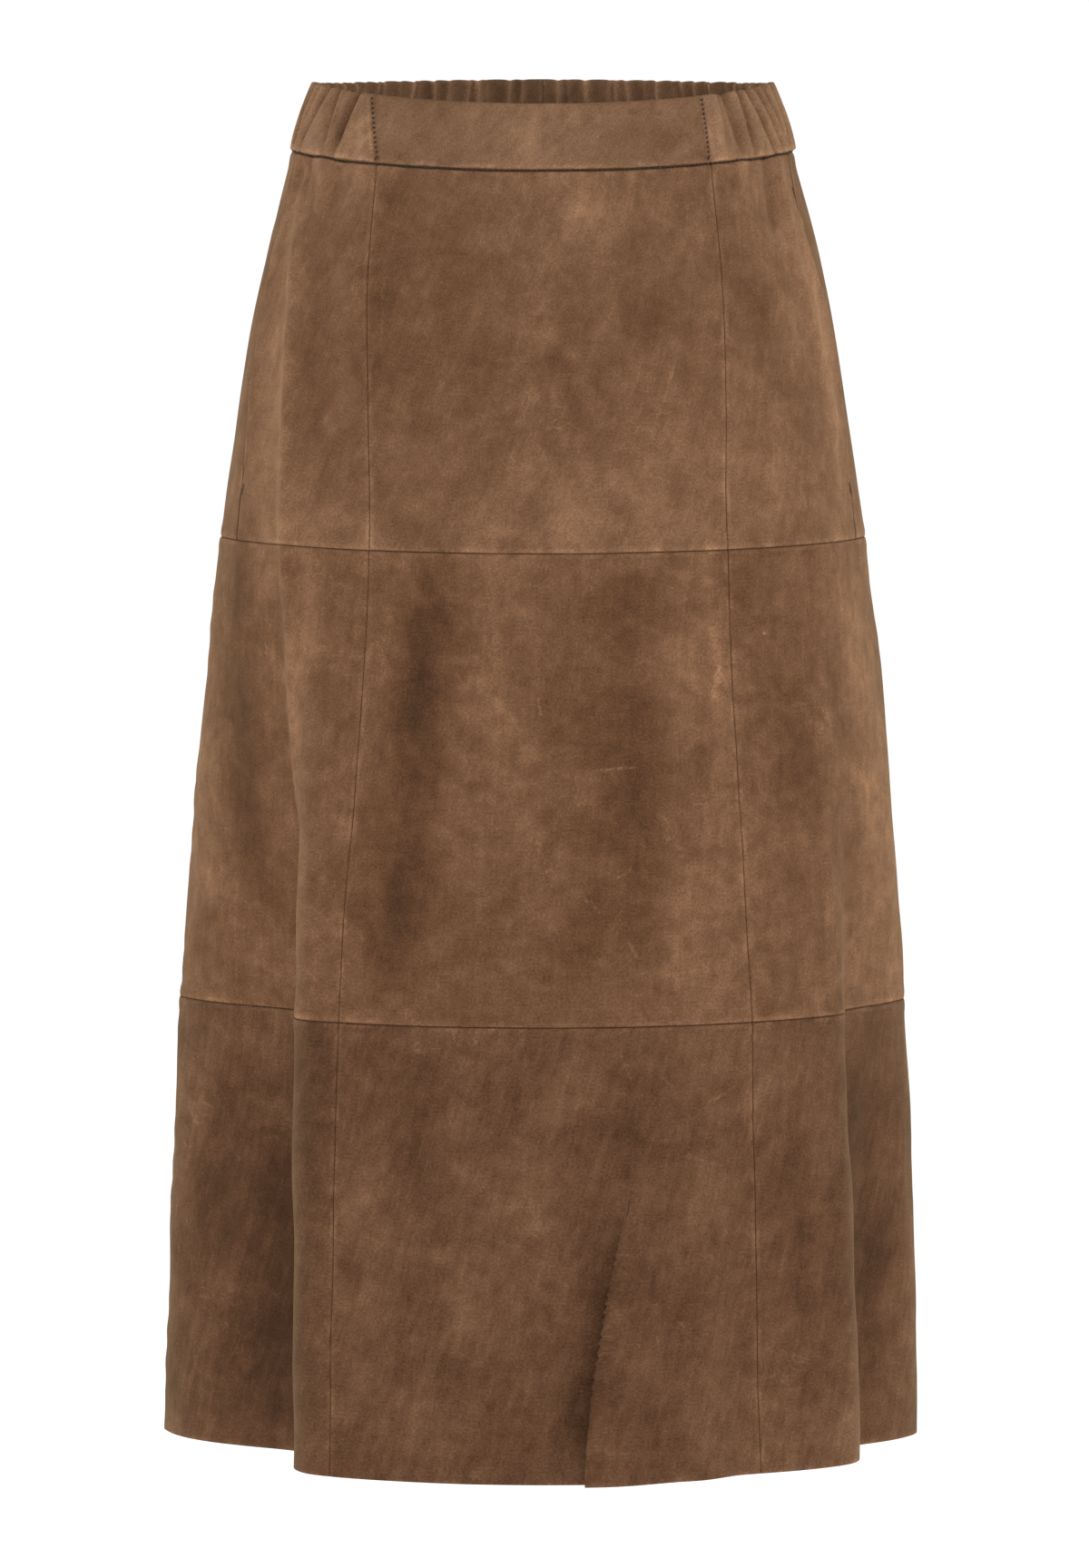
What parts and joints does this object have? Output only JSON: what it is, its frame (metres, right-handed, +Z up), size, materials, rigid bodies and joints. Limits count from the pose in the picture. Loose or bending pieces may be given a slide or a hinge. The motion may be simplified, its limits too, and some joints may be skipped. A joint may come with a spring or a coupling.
{
  "type": "a-line skirt",
  "caption": "Hollow A-line midi skirt in brown suede, in its worn form, with a part-elasticated waistband and in-seam pockets.",
  "frame": {"origin": "middle of the waist opening, level with the waistband's top edge at the sides, where the wearer's waist holds it", "axes": "+Z up; the front faces -Y; +X to the viewer's right when the front is looked at"},
  "size_m": [0.4264, 0.3931, 0.781],
  "materials": {
    "suede_band": "brushed suede, light brown",
    "suede_upper": "brushed suede, light brown",
    "suede_middle": "brushed suede, mid brown",
    "suede_lower": "brushed suede, darker brown",
    "pocket_lining": "plain woven lining, brown",
    "thread": "dark brown sewing thread"
  },
  "bodies": {
    "root": {"waistband_front": "suede_band", "waistband_back_left": "suede_band", "waistband_back_right": "suede_band", "front_centre_upper": "suede_upper", "front_side_left_upper": "suede_upper", "front_side_right_upper": "suede_upper", "back_left_upper": "suede_upper", "back_right_upper": "suede_upper", "front_centre_middle": "suede_middle", "front_side_left_middle": "suede_middle", "front_side_right_middle": "suede_middle", "back_left_middle": "suede_middle", "back_right_middle": "suede_middle", "front_centre_lower": "suede_lower", "front_side_left_lower": "suede_lower", "front_side_right_lower": "suede_lower", "back_left_lower": "suede_lower", "back_right_lower": "suede_lower", "pocket_bag_left": "pocket_lining", "pocket_bag_right": "pocket_lining"}
  },
  "joints": []
}
